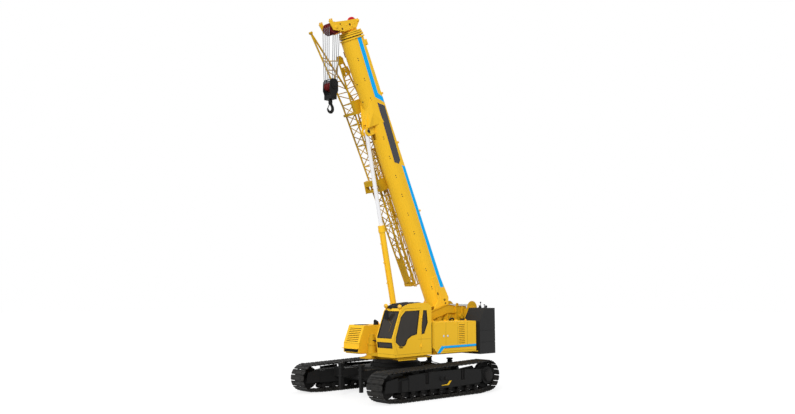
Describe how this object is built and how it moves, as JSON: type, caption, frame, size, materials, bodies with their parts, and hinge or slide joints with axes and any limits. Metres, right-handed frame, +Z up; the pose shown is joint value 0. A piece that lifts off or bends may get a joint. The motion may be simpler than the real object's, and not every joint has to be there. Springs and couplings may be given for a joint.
{
  "type": "crawler crane",
  "caption": "Crawler crane: telescopic boom raised on a slewing upper with cab, counterweight and winches, stowed lattice jib and hook block, on two tracks.",
  "frame": {"origin": "the slewing axis where it meets the ground the tracks stand on", "axes": "+X forward, to where the boom points; +Y to the crane's left, the cab side; +Z up"},
  "size_m": [7.2495, 4.89, 13.4653],
  "materials": {
    "yellow_paint": "semi-gloss enamel",
    "black_paint": "satin enamel",
    "grey_paint": "satin enamel over cast blocks",
    "track_steel": "rolled steel shoes, dark",
    "bare_steel": "machined ring",
    "cast_iron": "rough casting",
    "dark_glass": "tinted safety glass",
    "seat_fabric": "woven seat cover",
    "red_nylon": "cast nylon sheaves",
    "wire_rope": "galvanised rope",
    "chrome_rod": "hard chrome"
  },
  "bodies": {
    "undercarriage": {"car_body": "black_paint", "slew_ring": "bare_steel", "track_frame_left": "black_paint", "track_frame_right": "black_paint", "track_left": "track_steel", "track_right": "track_steel", "track_rollers_left": "black_paint", "track_rollers_right": "black_paint", "final_drive_left": "black_paint", "final_drive_right": "black_paint", "jack_legs": "black_paint"},
    "upper": {"turntable": "yellow_paint", "slew_drive": "yellow_paint", "engine_house": "yellow_paint", "engine_block": "cast_iron", "side_house": "yellow_paint", "counterweight": "grey_paint", "cab_shell": "yellow_paint", "cab_glass": "dark_glass", "cab_seat": "seat_fabric", "exhaust_stack": "black_paint", "cab_lamps": "yellow_paint", "cab_mirror": "black_paint"},
    "door": {"cab_door": "yellow_paint", "door_glass": "dark_glass"},
    "main_winch": {"main_drum": "yellow_paint"},
    "aux_winch": {"aux_drum": "yellow_paint"},
    "boom": {"boom_base": "yellow_paint", "jib_main": "yellow_paint", "jib_extension": "yellow_paint", "jib_mounts": "yellow_paint"},
    "boom_2": {"boom_section_2": "yellow_paint"},
    "boom_3": {"boom_section_3": "yellow_paint"},
    "boom_4": {"boom_section_4": "yellow_paint"},
    "boom_5": {"boom_section_5": "yellow_paint", "boom_head": "yellow_paint"},
    "tip_sheaves": {"front_sheaves": "red_nylon"},
    "top_sheave": {"rear_sheave": "red_nylon"},
    "hanging_block": {"hoist_falls": "wire_rope", "hook_block": "black_paint", "block_sheaves": "red_nylon"},
    "swivel_hook": {"hook": "black_paint"},
    "derrick_barrel": {"cylinder_barrel": "yellow_paint"},
    "derrick_rod": {"cylinder_rod": "chrome_rod"}
  },
  "joints": [
    {"name": "slew", "type": "hinge", "parent": "undercarriage", "child": "upper", "pos_m": [0, 0, 1.2], "axis": [0, 0, 1], "continuous": true},
    {"name": "cab_door_swing", "type": "hinge", "parent": "upper", "child": "door", "pos_m": [0.165, 1.52, 2.2], "axis": [0, 0, 1], "range_deg": [0, 110]},
    {"name": "main_winch_turn", "type": "hinge", "parent": "upper", "child": "main_winch", "pos_m": [-3, 0, 2.66], "axis": [0, 1, 0], "continuous": true},
    {"name": "aux_winch_turn", "type": "hinge", "parent": "upper", "child": "aux_winch", "pos_m": [-3.48, 0, 2.935], "axis": [0, 1, 0], "continuous": true},
    {"name": "boom_luff", "type": "hinge", "parent": "upper", "child": "boom", "pos_m": [-1.8, 0, 2.55], "axis": [0, -1, 0], "range_deg": [-67.5, 12.5]},
    {"name": "telescope_2", "type": "slide", "parent": "boom", "child": "boom_2", "axis": [0.4147, 0, 0.91], "range_m": [0, 8.3]},
    {"name": "telescope_3", "type": "slide", "parent": "boom_2", "child": "boom_3", "axis": [0.4147, 0, 0.91], "range_m": [0, 8.3]},
    {"name": "telescope_4", "type": "slide", "parent": "boom_3", "child": "boom_4", "axis": [0.4147, 0, 0.91], "range_m": [0, 8.3]},
    {"name": "telescope_5", "type": "slide", "parent": "boom_4", "child": "boom_5", "axis": [0.4147, 0, 0.91], "range_m": [0, 8.3]},
    {"name": "tip_sheaves_turn", "type": "hinge", "parent": "boom_5", "child": "tip_sheaves", "pos_m": [3.12162, 0, 12.80212], "axis": [0, 1, 0], "continuous": true},
    {"name": "top_sheave_turn", "type": "hinge", "parent": "boom_5", "child": "top_sheave", "pos_m": [2.16561, 0, 13.26528], "axis": [0, 1, 0], "continuous": true},
    {"name": "block_hang", "type": "hinge", "parent": "boom_5", "child": "hanging_block", "pos_m": [3.12162, 0, 12.80212], "axis": [0, -1, 0], "range_deg": [-12.5, 67.5]},
    {"name": "hook_swivel", "type": "hinge", "parent": "hanging_block", "child": "swivel_hook", "pos_m": [3.12162, 0, 10.23], "axis": [0, 0, 1], "continuous": true},
    {"name": "derrick_swing", "type": "hinge", "parent": "upper", "child": "derrick_barrel", "pos_m": [-0.131, 0, 2], "axis": [0, -1, 0], "range_deg": [-74.5, 14]},
    {"name": "derrick_stroke", "type": "slide", "parent": "derrick_barrel", "child": "derrick_rod", "axis": [0.2107, 0, 0.9776], "range_m": [-1.73, 0.33]}
  ],
  "couplings": [
    {"joint": "block_hang", "follows": "boom_luff", "ratio": -1},
    {"joint": "derrick_swing", "follows": "boom_luff", "ratio": 1.0977},
    {"joint": "derrick_stroke", "follows": "boom_luff", "m_per_rad": 1.4606}
  ]
}
